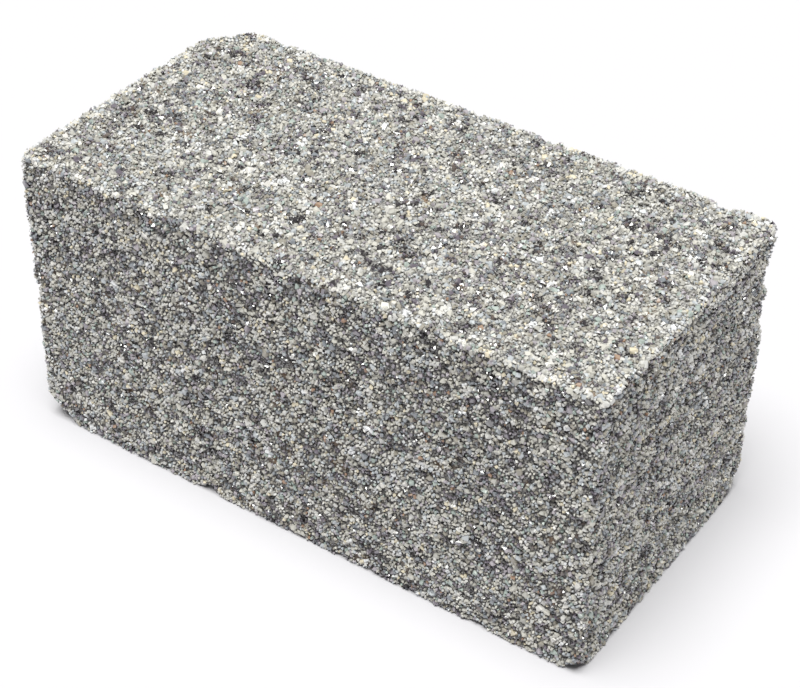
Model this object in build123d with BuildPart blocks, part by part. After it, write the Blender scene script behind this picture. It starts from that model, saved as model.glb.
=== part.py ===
from build123d import *
import os

os.makedirs("parts", exist_ok=True)

# A coarse sharpening block: one moulded and fired body of abrasive grain and bond, with no
# layers, inserts or fixings. It is twice as long as it is wide and high.
# Frame: origin at the middle of the underside, +X along the length, +Y to the back, +Z up.

# Overall size, over the highest grains of each face
length = 100.0
width = 50.0
height = 50.0
half_length = length / 2
half_width = width / 2

# Rounding of the twelve edges by handling and use, as radii
top_edge_wear = 0.4
bottom_edge_wear = 0.3
upright_edge_wear = 0.7
left_back_upright_wear = 2.4

# Corners that have crumbled away: which corner, as signs of X, Y and top or bottom,
# and how far the break reaches along X, Y and Z
crumbled_corners = {
    "left back top": ((-1, 1, 1), (6.2, 7.2, 9.0)),
    "left front top": ((-1, -1, 1), (1.8, 2.0, 1.6)),
    "left front bottom": ((-1, -1, -1), (6.4, 8.0, 4.8)),
    "right back bottom": ((1, 1, -1), (8.0, 3.8, 5.4)),
    "right front bottom": ((1, -1, -1), (3.4, 3.4, 3.4)),
    "right front top": ((1, -1, 1), (1.1, 1.1, 1.1)),
    "left back bottom": ((-1, 1, -1), (4.5, 5.0, 4.0)),
    "right back top": ((1, 1, 1), (1.6, 2.2, 2.0)),
}

# Scooped chips where a cluster of grains has broken out of an edge. Each edge has the middle of a
# scoop, from its place along the edge and its gap outside the two faces, and then its chips: place
# along the edge, radius of the scoop, and how deep it bites along the diagonal of the edge
chipped_edges = {
    "back top": (
        lambda along, gap: (along, half_width + gap, height + gap),
        [(41.5, 2.0, 1.3), (-38.0, 2.2, 0.9), (12.0, 3.0, 0.6)],
    ),
    "front bottom": (
        lambda along, gap: (along, -half_width - gap, -gap),
        [(-16.5, 2.6, 1.1), (14.0, 3.4, 0.7), (33.0, 2.0, 0.7)],
    ),
    "back bottom": (
        lambda along, gap: (along, half_width + gap, -gap),
        [(-22.0, 3.0, 1.0), (20.0, 2.4, 0.8)],
    ),
    "right back upright": (
        lambda along, gap: (half_length + gap, half_width + gap, along),
        [(42.0, 6.0, 2.0), (34.5, 8.0, 1.4), (16.0, 5.0, 0.8)],
    ),
    "left front upright": (
        lambda along, gap: (-half_length - gap, -half_width - gap, along),
        [(25.0, 3.0, 0.8)],
    ),
}


def break_plane(signs, reach):
    """Plane of a crumbled corner, facing away from the block."""
    sx, sy, sz = signs
    corner = Vector(sx * half_length, sy * half_width, height if sz > 0 else 0)
    foot = corner - Vector(sx * reach[0], 0, 0)
    facing = Vector(sx / reach[0], sy / reach[1], sz / reach[2])
    return Plane(origin=foot, z_dir=facing)


def scoop_offset(radius, bite):
    """How far outside each of the two faces a scoop's centre lies."""
    return (radius - bite) / 2**0.5


with BuildPart() as whetstone:
    with BuildSketch(Plane.XY):
        Rectangle(length, width)
    extrude(amount=height)

    # Edges worn round, largest radius first
    uprights = whetstone.edges().filter_by(Axis.Z)
    left_back_upright = uprights.group_by(Axis.X)[0].sort_by(Axis.Y)[-1]
    fillet(left_back_upright, radius=left_back_upright_wear)
    uprights = whetstone.edges().filter_by(Axis.Z).filter_by(
        lambda edge: edge.center().X > 0 or edge.center().Y < 0
    )
    fillet(uprights, radius=upright_edge_wear)
    fillet(whetstone.faces().sort_by(Axis.Z)[-1].edges(), radius=top_edge_wear)
    fillet(whetstone.faces().sort_by(Axis.Z)[0].edges(), radius=bottom_edge_wear)

    # Crumbled corners
    for signs, reach in crumbled_corners.values():
        split(bisect_by=break_plane(signs, reach), keep=Keep.BOTTOM)

    # Chips out of the edges
    for scoop_middle, chips in chipped_edges.values():
        for along, radius, bite in chips:
            with Locations(scoop_middle(along, scoop_offset(radius, bite))):
                Sphere(radius, mode=Mode.SUBTRACT)

whetstone.part.label = "whetstone"
export_step(whetstone.part, "parts/whetstone.step")
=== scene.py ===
import math

import bmesh
import bpy
import numpy as np
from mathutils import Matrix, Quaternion, Vector, kdtree, noise


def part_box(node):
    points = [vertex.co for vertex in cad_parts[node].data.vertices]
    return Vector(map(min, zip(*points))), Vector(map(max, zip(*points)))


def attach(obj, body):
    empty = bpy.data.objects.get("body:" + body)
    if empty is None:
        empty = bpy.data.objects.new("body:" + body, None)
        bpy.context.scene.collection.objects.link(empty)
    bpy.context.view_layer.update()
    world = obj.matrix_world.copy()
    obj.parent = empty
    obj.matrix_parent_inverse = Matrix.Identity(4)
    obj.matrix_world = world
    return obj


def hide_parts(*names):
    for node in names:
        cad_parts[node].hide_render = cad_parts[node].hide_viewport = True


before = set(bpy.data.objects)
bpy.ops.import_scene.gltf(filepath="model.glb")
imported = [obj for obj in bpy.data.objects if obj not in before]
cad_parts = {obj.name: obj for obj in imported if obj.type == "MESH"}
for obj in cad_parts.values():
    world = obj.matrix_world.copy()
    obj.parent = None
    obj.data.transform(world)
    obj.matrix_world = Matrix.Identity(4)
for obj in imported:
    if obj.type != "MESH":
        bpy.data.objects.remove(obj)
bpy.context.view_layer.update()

# The stone is a body of fired bond with crushed abrasive grains standing out of it. The bond is one
# closed mesh, and every grain at the surface is a small closed crystal of its own, set into the bond.

MM = 0.001
BLOCK = "whetstone"  # the part's one CAD node
SEED = 7

block_low, block_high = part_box(BLOCK)
block_length = block_high.x - block_low.x
block_middle = (block_low + block_high) / 2

# Crystals: how many different ones each size of grit has, how much each of a grain's three sides is
# stretched, and how far a corner lies from where an even crystal of radius 1 has it, sideways and
# from the middle
GRAIN_SHAPES = 40
GRAIN_STRETCH = (0.70, 1.32)
CORNER_SHIFT = 0.38
CORNER_REACH = (0.82, 1.12)

# Grit. Two sizes are mixed: a few coarse grains, and fine grit that fills the rest of the face. Each
# has its least distance between grains, the usual radius with its spread and limits, how many corners
# a crystal has, how far the highest ones stand out of the face, how much their heights vary, and the
# share of places left empty.
COARSE = {
    "spacing": 1.05 * MM,
    "radius": 0.50 * MM,
    "spread": 0.22,
    "limits": (0.30 * MM, 0.72 * MM),
    "corners": (9, 12),
    "proud": 0.14 * MM,
    "level_spread": 0.12 * MM,
    "missing": 0.45,
}
FINE = {
    "spacing": 0.40 * MM,
    "radius": 0.285 * MM,
    "spread": 0.26,
    "limits": (0.16 * MM, 0.46 * MM),
    "corners": (6, 8),
    "proud": 0.12 * MM,
    "level_spread": 0.14 * MM,
    "missing": 0.05,
}
COARSE_CLEARANCE = 0.72  # share of a coarse grain's radius that stays free of fine grit
TRIES_PER_PLACE = 4.2  # random places tried for each square of the least distance

# Bond between the grains
BOND_VOXEL = 0.55 * MM
BOND_DEPTH = 0.40 * MM
BOND_LUMP = 0.22 * MM
BOND_LUMP_LENGTH = 0.9 * MM

# Unevenness of the moulded faces and of the worn edges. A threshold is the noise at which a pit or a
# loss starts.
FACE_WAVE = 0.10 * MM
FACE_WAVE_LENGTH = 9 * MM
PIT_DEPTH = 0.90 * MM
PIT_LENGTH = 1.3 * MM
PIT_THRESHOLD = 0.08
EDGE_LOSS = 0.42 * MM
EDGE_LOSS_LENGTH = 2.6 * MM
EDGE_LOSS_THRESHOLD = -0.05
EDGE_REACH = 1.6 * MM

# How far along one direction each use of the noise is read, so that no two rise and fall together
NOISE_DIRECTION = (1, -1.7, 0.6)
WAVE_OFFSET = 3
PIT_OFFSET = 11
EDGE_LOSS_OFFSET = 23
BOND_OFFSET = 37
TONE_OFFSET = 41


# Colour ---------------------------------------------------------------------------------------


def linear(red, green, blue):
    """Scene-linear colour from 8-bit display values."""
    steps = (c / 255 for c in (red, green, blue))
    return tuple(c / 12.92 if c <= 0.04045 else ((c + 0.055) / 1.055) ** 2.4 for c in steps)


# Name, display colour, roughness, refractive index, share of the grains, from dark to light
GRAIN_KINDS = [
    ("black_carbide", (37, 34, 38), 0.16, 2.30, 6),
    ("dark_brown", (66, 56, 53), 0.30, 1.90, 1.5),
    ("dark_violet", (79, 73, 83), 0.20, 2.10, 6.5),
    ("rust", (126, 100, 84), 0.45, 1.50, 0.6),
    ("smoky_blue", (99, 103, 110), 0.24, 1.80, 8),
    ("smoky_grey", (121, 116, 107), 0.35, 1.60, 8),
    ("violet_grey", (139, 132, 140), 0.30, 1.60, 6),
    ("teal_grey", (131, 143, 138), 0.35, 1.55, 4),
    ("mid_grey", (149, 147, 141), 0.40, 1.50, 15),
    ("blue_grey", (150, 155, 161), 0.35, 1.55, 9),
    ("light_grey", (168, 165, 157), 0.42, 1.50, 15),
    ("pale_grey", (175, 174, 172), 0.38, 1.50, 10),
    ("straw", (188, 177, 152), 0.45, 1.50, 2.5),
    ("milky_white", (187, 184, 180), 0.40, 1.50, 5.5),
    ("clear_white", (198, 199, 203), 0.18, 1.70, 1.8),
]

# How much of a grain's tone comes from its patch of the face, from its cluster, and from itself
PATCH_TONE, CLUSTER_TONE, OWN_TONE = 0.30, 0.82, 0.42
PATCH_LENGTH = 2.2 * MM
NOISE_SPREAD = 0.28  # standard deviation of mathutils noise

# Painted highlight: grains along the rim of the top are given a paler tone, for the light that the
# rounded edge catches
PAINTED_RIM_HIGHLIGHT = 0.65
PAINTED_RIM_HIGHLIGHT_REACH = 4 * MM


def principled(material):
    return material.node_tree.nodes["Principled BSDF"]


def grain_material(name, colour, roughness, refraction):
    material = bpy.data.materials.new("grain_" + name)
    material.use_nodes = True
    shader = principled(material)
    shader.inputs["Base Color"].default_value = (*linear(*colour), 1)
    shader.inputs["Roughness"].default_value = roughness
    shader.inputs["IOR"].default_value = refraction
    return material


# Bond: display colours of the near-black painted shade in its pores and between the grains, of its pale
# dusty grey and of its rusty stains
BOND_PAINTED_SHADE = (19, 16, 21)
BOND_PALE = (138, 136, 134)
BOND_RUST = (92, 74, 58)
BOND_ROUGHNESS = 0.85

# Its noises, each as waves per metre and detail, and the part of the noise over which the pale dusty
# grey fades in over the painted shade, and the stains fade in
DUST_AND_PORE_SHADE_NOISE = (4200, 4)
DUST_AND_PORE_SHADE_RANGE = (0.42, 0.66)
STAIN_NOISE = (260, 3)
STAIN_RANGE = (0.62, 0.74)
BUMP_NOISE = (9000, 4)
BUMP_HEIGHT = 0.05 * MM
BUMP_STRENGTH = 0.6


def noise_node(tree, place, waves, detail):
    node = tree.nodes.new("ShaderNodeTexNoise")
    node.inputs["Scale"].default_value = waves
    node.inputs["Detail"].default_value = detail
    tree.links.new(place, node.inputs["Vector"])
    return node.outputs["Fac"]


def ramp_node(tree, fac, positions, colours=None):
    """Colour ramp over two positions of fac, from black to white unless colours are given."""
    node = tree.nodes.new("ShaderNodeValToRGB")
    for element, position in zip(node.color_ramp.elements, positions):
        element.position = position
    if colours is not None:
        for element, colour in zip(node.color_ramp.elements, colours):
            element.color = (*colour, 1)
    tree.links.new(fac, node.inputs["Fac"])
    return node


def bond_material():
    """Porous fired bond: pale dusty grey, with near-black patches of painted shade for its pores and
    the gaps between the grains, and a few rusty stains.
    """
    material = bpy.data.materials.new("fired_bond")
    material.use_nodes = True
    tree = material.node_tree
    shader = principled(material)
    place = tree.nodes.new("ShaderNodeTexCoord").outputs["Object"]

    # Painted shade: a fine noise lays near-black patches, for the shade in pores and between the
    # grains, under the pale dusty grey
    dust_and_pore_shade = noise_node(tree, place, *DUST_AND_PORE_SHADE_NOISE)
    tone = ramp_node(tree, dust_and_pore_shade, DUST_AND_PORE_SHADE_RANGE, (linear(*BOND_PAINTED_SHADE), linear(*BOND_PALE)))
    stains = ramp_node(tree, noise_node(tree, place, *STAIN_NOISE), STAIN_RANGE)

    stained = tree.nodes.new("ShaderNodeMix")
    stained.data_type = "RGBA"
    stained.inputs["B"].default_value = (*linear(*BOND_RUST), 1)
    tree.links.new(stains.outputs["Color"], stained.inputs["Factor"])
    tree.links.new(tone.outputs["Color"], stained.inputs["A"])
    tree.links.new(stained.outputs["Result"], shader.inputs["Base Color"])

    bump = tree.nodes.new("ShaderNodeBump")
    bump.inputs["Strength"].default_value = BUMP_STRENGTH
    bump.inputs["Distance"].default_value = BUMP_HEIGHT
    tree.links.new(noise_node(tree, place, *BUMP_NOISE), bump.inputs["Height"])
    tree.links.new(bump.outputs["Normal"], shader.inputs["Normal"])
    shader.inputs["Roughness"].default_value = BOND_ROUGHNESS
    return material


# Surface --------------------------------------------------------------------------------------


def evenly_meshed(source, voxel):
    """Points, normals and faces of an even mesh of four-sided faces, which lies on the CAD solid."""
    copy = source.copy()
    copy.data = source.data.copy()
    copy.parent = None
    bpy.context.scene.collection.objects.link(copy)
    remesh = copy.modifiers.new("even", "REMESH")
    remesh.mode = "VOXEL"
    remesh.voxel_size = voxel
    graph = bpy.context.evaluated_depsgraph_get()
    mesh = bpy.data.meshes.new_from_object(copy.evaluated_get(graph))
    bpy.data.objects.remove(copy)
    for vertex in mesh.vertices:
        vertex.co = source.closest_point_on_mesh(vertex.co)[1]
    mesh.update()
    points = np.empty(len(mesh.vertices) * 3, np.float32)
    mesh.vertices.foreach_get("co", points)
    points = points.reshape(-1, 3).astype(float)
    normals = np.empty(len(mesh.vertices) * 3, np.float32)
    mesh.vertices.foreach_get("normal", normals)
    normals = normals.reshape(-1, 3).astype(float)
    faces = np.empty(len(mesh.polygons) * 4, np.int32)
    mesh.polygons.foreach_get("vertices", faces)
    bpy.data.meshes.remove(mesh)
    return points, normals, faces.reshape(-1, 4)


def noise_field(points, wave_length, offset):
    """Smooth noise of about -1 to 1 at each point."""
    shift = Vector([part * offset for part in NOISE_DIRECTION])
    scaled = points / wave_length
    return np.array([noise.noise(Vector(p) + shift) for p in scaled])


def edge_distance(points):
    """Distance from the nearest edge of the block's box, along its faces."""
    low = np.array(block_low)
    high = np.array(block_high)
    gaps = np.minimum(points - low, high - points)
    return np.sort(gaps, axis=1)[:, 1]


def sunken(points, normals):
    """Points moved in along their normals by the waves, pits and edge losses of a used stone."""
    near_edge = np.clip(1 - edge_distance(points) / EDGE_REACH, 0, 1)
    wave = FACE_WAVE * noise_field(points, FACE_WAVE_LENGTH, WAVE_OFFSET)
    pitted = noise_field(points, PIT_LENGTH, PIT_OFFSET) - PIT_THRESHOLD
    pits = PIT_DEPTH * np.clip(pitted, 0, 1)
    crumbled = noise_field(points, EDGE_LOSS_LENGTH, EDGE_LOSS_OFFSET) - EDGE_LOSS_THRESHOLD
    lost = EDGE_LOSS * near_edge * np.clip(crumbled, 0, 1)
    return points - normals * (wave * (1 - near_edge) + pits + lost)[:, None]


def mesh_object(name, points, faces, materials, face_materials=None):
    """Object from arrays of points and of faces that all have the same number of corners."""
    mesh = bpy.data.meshes.new(name)
    corners = faces.shape[1]
    mesh.vertices.add(len(points))
    mesh.vertices.foreach_set("co", points.astype(np.float32).ravel())
    mesh.loops.add(faces.size)
    mesh.loops.foreach_set("vertex_index", faces.astype(np.int32).ravel())
    mesh.polygons.add(len(faces))
    mesh.polygons.foreach_set("loop_start", np.arange(len(faces), dtype=np.int32) * corners)
    for material in materials:
        mesh.materials.append(material)
    if face_materials is not None:
        mesh.polygons.foreach_set("material_index", face_materials.astype(np.int32))
    mesh.update(calc_edges=True)
    mesh.shade_flat()
    piece = bpy.data.objects.new(name, mesh)
    bpy.context.scene.collection.objects.link(piece)
    return piece


# Grains ---------------------------------------------------------------------------------------


def crystal_shape(corner_counts, draw):
    """Corners and triangles of one angular crushed grain, whose radius is about 1."""
    count = int(draw.integers(corner_counts[0], corner_counts[1] + 1))
    turn = draw.uniform(0, math.tau)
    golden_angle = math.pi * (3 - math.sqrt(5))
    shape = bmesh.new()
    for i in range(count):
        z = 1 - 2 * (i + 0.5) / count
        ring = math.sqrt(1 - z * z)
        angle = turn + i * golden_angle
        direction = Vector((ring * math.cos(angle), ring * math.sin(angle), z))
        direction += Vector(draw.uniform(-CORNER_SHIFT, CORNER_SHIFT, 3))
        shape.verts.new(direction.normalized() * draw.uniform(*CORNER_REACH))
    bmesh.ops.convex_hull(shape, input=shape.verts[:])
    loose = [v for v in shape.verts if not v.link_faces]
    bmesh.ops.delete(shape, geom=loose, context="VERTS")
    bmesh.ops.triangulate(shape, faces=shape.faces[:])
    bmesh.ops.recalc_face_normals(shape, faces=shape.faces[:])
    shape.verts.index_update()
    corners = np.array([v.co for v in shape.verts])
    triangles = np.array([[v.index for v in f.verts] for f in shape.faces])
    shape.free()
    return corners, triangles


def tree_of(places):
    """Search tree of the places, balanced and ready for use."""
    tree = kdtree.KDTree(len(places))
    for index, place in enumerate(places):
        tree.insert(place, index)
    tree.balance()
    return tree


def scattered(points, normals, faces, spacing, draw):
    """Points and normals spread over the mesh, no two nearer than spacing."""
    corner = points[faces]
    side_a = corner[:, 1] - corner[:, 0]
    side_b = corner[:, 3] - corner[:, 0]
    area = np.linalg.norm(np.cross(side_a, side_b), axis=1)
    wanted = int(TRIES_PER_PLACE * area.sum() / spacing**2)
    chosen = draw.choice(len(faces), wanted, p=area / area.sum())
    u, v = draw.random((2, wanted, 1))
    picked = corner[chosen]
    tried = (
        picked[:, 0] * (1 - u) * (1 - v)
        + picked[:, 1] * u * (1 - v)
        + picked[:, 2] * u * v
        + picked[:, 3] * (1 - u) * v
    )
    facing = normals[faces[chosen]].mean(axis=1)
    facing /= np.linalg.norm(facing, axis=1, keepdims=True)
    tree = tree_of(tried)
    open_places = np.ones(wanted, bool)
    kept = []
    for index in range(wanted):
        if open_places[index]:
            kept.append(index)
            for _, near, _ in tree.find_range(tried[index], spacing):
                open_places[near] = False
    return tried[kept], facing[kept]


def rotations(count, draw):
    """Random rotation matrices."""
    quaternions = draw.normal(size=(4, count))
    w, x, y, z = quaternions / np.linalg.norm(quaternions, axis=0)
    return np.array(
        [
            [1 - 2 * (y * y + z * z), 2 * (x * y - z * w), 2 * (x * z + y * w)],
            [2 * (x * y + z * w), 1 - 2 * (x * x + z * z), 2 * (y * z - x * w)],
            [2 * (x * z - y * w), 2 * (y * z + x * w), 1 - 2 * (x * x + y * y)],
        ]
    ).transpose(2, 0, 1)


def side_of(normals, points):
    """Name of the piece each grain belongs to: its face of the block, and which half of a long face."""
    axis = np.abs(normals).argmax(axis=1)
    positive = normals[np.arange(len(normals)), axis] > 0
    names = np.array([["left_end", "right_end"], ["front", "back"], ["underside", "top"]])
    side = names[axis, positive.astype(int)]
    half = np.where(points[:, 0] < block_middle.x, "_left", "_right")
    return np.where(axis == 0, side, np.char.add(side, half))


def nearest(places, tree):
    """Index of, and distance to, the nearest point of the tree for each place."""
    found = [tree.find(place)[1:] for place in places]
    return np.array([index for index, _ in found]), np.array([gap for _, gap in found])


def grain_set(size, places, facing, cluster_tone, draw):
    """One size of grit at the given places: arrays with one entry for each grain, and its shapes."""
    count = len(places)
    patch_tone = noise_field(places, PATCH_LENGTH, TONE_OFFSET) / NOISE_SPREAD
    tone = PATCH_TONE * patch_tone + CLUSTER_TONE * cluster_tone + OWN_TONE * draw.normal(size=count)
    # Painted highlight: near an edge, grains on faces that look up take a paler tone
    rim_highlight = np.clip(1 - edge_distance(places) / PAINTED_RIM_HIGHLIGHT_REACH, 0, 1) * np.clip(facing[:, 2], 0, 1)
    tone += PAINTED_RIM_HIGHLIGHT * rim_highlight
    order = tone.argsort().argsort() / count
    shares = np.array([kind[-1] for kind in GRAIN_KINDS], float)
    radius = size["radius"] * np.exp(draw.normal(0, size["spread"], count))
    return {
        "facing": facing,
        "radius": np.clip(radius, *size["limits"]),
        "stretch": draw.uniform(*GRAIN_STRETCH, (count, 3)),
        "turn": rotations(count, draw),
        "kind": np.searchsorted(np.cumsum(shares) / shares.sum(), order, side="right"),
        "shape": draw.integers(0, GRAIN_SHAPES, count),
        "level": size["proud"] - np.abs(draw.normal(0, size["level_spread"], count)),
        "surface": sunken(places, facing),
        "side": side_of(facing, places),
        "shapes": [crystal_shape(size["corners"], draw) for _ in range(GRAIN_SHAPES)],
    }


def both_sizes(surface, draw):
    """The coarse grains, and the fine grit between them.

    A cluster is what lies nearest to one coarse place, and it shares a tone, whether or not a coarse
    grain has grown there.
    """
    seeds, seed_facing = scattered(*surface, COARSE["spacing"], draw)
    seed_tone = draw.normal(size=len(seeds))
    grown = draw.random(len(seeds)) > COARSE["missing"]
    coarse = grain_set(COARSE, seeds[grown], seed_facing[grown], seed_tone[grown], draw)

    places, facing = scattered(*surface, FINE["spacing"], draw)
    cluster, _ = nearest(places, tree_of(seeds))
    grain, gap = nearest(places, tree_of(seeds[grown]))
    free = gap > COARSE_CLEARANCE * coarse["radius"][grain]
    free &= draw.random(len(places)) > FINE["missing"]
    fine = grain_set(FINE, places[free], facing[free], seed_tone[cluster[free]], draw)
    return coarse, fine


def grain_mesh(grains, name, used):
    """Points, triangles and kinds of a set's grains on one side of the block.

    used is how many points the piece has before them, and the last value is how many it has after
    them. The grains of the underside end at the floor.
    """
    points, triangles, kinds = [], [], []
    for number, (corners, faces) in enumerate(grains["shapes"]):
        mine = np.flatnonzero((grains["side"] == name) & (grains["shape"] == number))
        if not len(mine):
            continue
        sized = corners[None] * grains["stretch"][mine, None] * grains["radius"][mine, None, None]
        turned = np.einsum("nij,nkj->nki", grains["turn"][mine], sized)
        facing = grains["facing"][mine]
        top = np.einsum("nki,ni->nk", turned, facing).max(axis=1)
        centre = grains["surface"][mine] + facing * (grains["level"][mine] - top)[:, None]
        starts = used + np.arange(len(mine)) * len(corners)
        placed = turned + centre[:, None]
        placed[:, :, 2] = np.maximum(placed[:, :, 2], block_low.z)
        points.append(placed.reshape(-1, 3))
        triangles.append((faces[None] + starts[:, None, None]).reshape(-1, 3))
        kinds.append(np.repeat(grains["kind"][mine], len(faces)))
        used += len(mine) * len(corners)
    return points, triangles, kinds, used


def grain_pieces(surface, draw):
    """One piece for each side of the block, and two for each long side."""
    coarse, fine = both_sizes(surface, draw)
    materials = [grain_material(*kind[:-1]) for kind in GRAIN_KINDS]
    pieces = []
    for name in sorted(set(coarse["side"])):
        points, triangles, kinds, used = grain_mesh(coarse, name, 0)
        more_points, more_triangles, more_kinds, _ = grain_mesh(fine, name, used)
        piece = mesh_object(
            "grains_" + name,
            np.concatenate(points + more_points),
            np.concatenate(triangles + more_triangles),
            materials,
            np.concatenate(kinds + more_kinds),
        )
        pieces.append(piece)
    return pieces


def bond_piece(points, normals, faces):
    """The bond, which lies lower than the grains that stand in it."""
    lumps = BOND_LUMP * noise_field(points, BOND_LUMP_LENGTH, BOND_OFFSET)
    moved = sunken(points, normals) - normals * (BOND_DEPTH + lumps)[:, None]
    return mesh_object("fired_bond", moved, faces, [bond_material()])


# Stage ----------------------------------------------------------------------------------------

FLOOR_COLOUR = (0.437, 0.429, 0.468)
FLOOR_ROUGHNESS = 0.9
FLOOR_REACH = 40 * block_length


def stage_floor():
    corners = [(-1, -1), (1, -1), (1, 1), (-1, 1)]
    points = [(x * FLOOR_REACH, y * FLOOR_REACH, block_low.z) for x, y in corners]
    mesh = bpy.data.meshes.new("floor")
    mesh.from_pydata(points, [], [(0, 1, 2, 3)])
    material = bpy.data.materials.new("pale_floor")
    material.use_nodes = True
    principled(material).inputs["Base Color"].default_value = (*FLOOR_COLOUR, 1)
    principled(material).inputs["Roughness"].default_value = FLOOR_ROUGHNESS
    mesh.materials.append(material)
    floor = bpy.data.objects.new("floor", mesh)
    bpy.context.scene.collection.objects.link(floor)


# A plain backdrop, white at the horizon and dark overhead, and one broad light high at the front. The
# backdrop fades between two heights, as the sine of the angle above the horizon.
LIGHT_COLOUR = (0.992, 1.0, 0.94)
HORIZON_BRIGHTNESS = 1.41
OVERHEAD_BRIGHTNESS = 0.12
FADE_RANGE = (0.02, 0.30)
SOFTBOX_DIRECTION = (0.06, -0.85, 4.9)
SOFTBOX_SPREAD = 36  # degrees
SOFTBOX_POWER = 9.4


def backdrop():
    world = bpy.data.worlds.new("studio")
    world.use_nodes = True
    tree = world.node_tree
    direction = tree.nodes.new("ShaderNodeTexCoord")
    height = tree.nodes.new("ShaderNodeSeparateXYZ")
    tree.links.new(direction.outputs["Generated"], height.inputs["Vector"])
    overhead_colour = Vector(LIGHT_COLOUR) * (OVERHEAD_BRIGHTNESS / HORIZON_BRIGHTNESS)
    fade = ramp_node(tree, height.outputs["Z"], FADE_RANGE, (LIGHT_COLOUR, overhead_colour))
    fade.color_ramp.interpolation = "EASE"
    background = tree.nodes["Background"]
    background.inputs["Strength"].default_value = HORIZON_BRIGHTNESS
    tree.links.new(fade.outputs["Color"], background.inputs["Color"])
    bpy.context.scene.world = world


def softbox():
    data = bpy.data.lights.new("overhead_softbox", "SUN")
    data.energy = SOFTBOX_POWER
    data.color = LIGHT_COLOUR
    data.angle = math.radians(SOFTBOX_SPREAD)
    light = bpy.data.objects.new("overhead_softbox", data)
    light.location = block_middle + Vector(SOFTBOX_DIRECTION) * block_length
    light.rotation_mode = "QUATERNION"
    light.rotation_quaternion = Vector(SOFTBOX_DIRECTION).to_track_quat("Z", "Y")
    bpy.context.scene.collection.objects.link(light)


# Scene brightness that shows as white, and the film's curve: shares of that brightness, and the shares
# of full display brightness that they show as, up to a soft shoulder
FILM_WHITE = 1.35
FILM_CURVE = [(0.30, 0.41), (0.52, 0.61), (0.75, 0.80)]


def film():
    """Display colours of a plain camera, whose highlights roll off instead of clipping."""
    settings = bpy.context.scene.view_settings
    settings.view_transform = "Standard"
    settings.look = "None"
    settings.use_curve_mapping = True
    mapping = settings.curve_mapping
    mapping.white_level = (FILM_WHITE,) * 3
    all_channels = mapping.curves[3]
    for place in FILM_CURVE:
        all_channels.points.new(*place)
    mapping.update()


# Camera: its place in block lengths from the middle of the underside, where it looks, its roll in
# degrees, and its lens and sensor in their usual millimetres
EYE = (1.332, -1.955, 2.057)
VIEW_DIRECTION = (-0.4396, 0.6548, -0.6155)
VIEW_ROLL = 1.07
LENS = 87.80
SENSOR_WIDTH = 36
CLIP_START = 10 * MM


def camera():
    data = bpy.data.cameras.new("camera")
    data.sensor_width = SENSOR_WIDTH
    data.lens = LENS
    data.clip_start = CLIP_START
    eye = bpy.data.objects.new("camera", data)
    eye.location = block_middle.xy.to_3d() + Vector(EYE) * block_length
    eye.rotation_mode = "QUATERNION"
    roll = Quaternion((0, 0, 1), math.radians(VIEW_ROLL))
    eye.rotation_quaternion = Vector(VIEW_DIRECTION).to_track_quat("-Z", "Y") @ roll
    bpy.context.scene.collection.objects.link(eye)
    bpy.context.scene.camera = eye


# Making ---------------------------------------------------------------------------------------

film()
camera()
backdrop()
softbox()
stage_floor()

surface = evenly_meshed(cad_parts[BLOCK], BOND_VOXEL)
bond = bond_piece(*surface)
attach(bond, "root")
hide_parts(BLOCK)
for grains in grain_pieces(surface, np.random.default_rng(SEED)):
    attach(grains, "root")
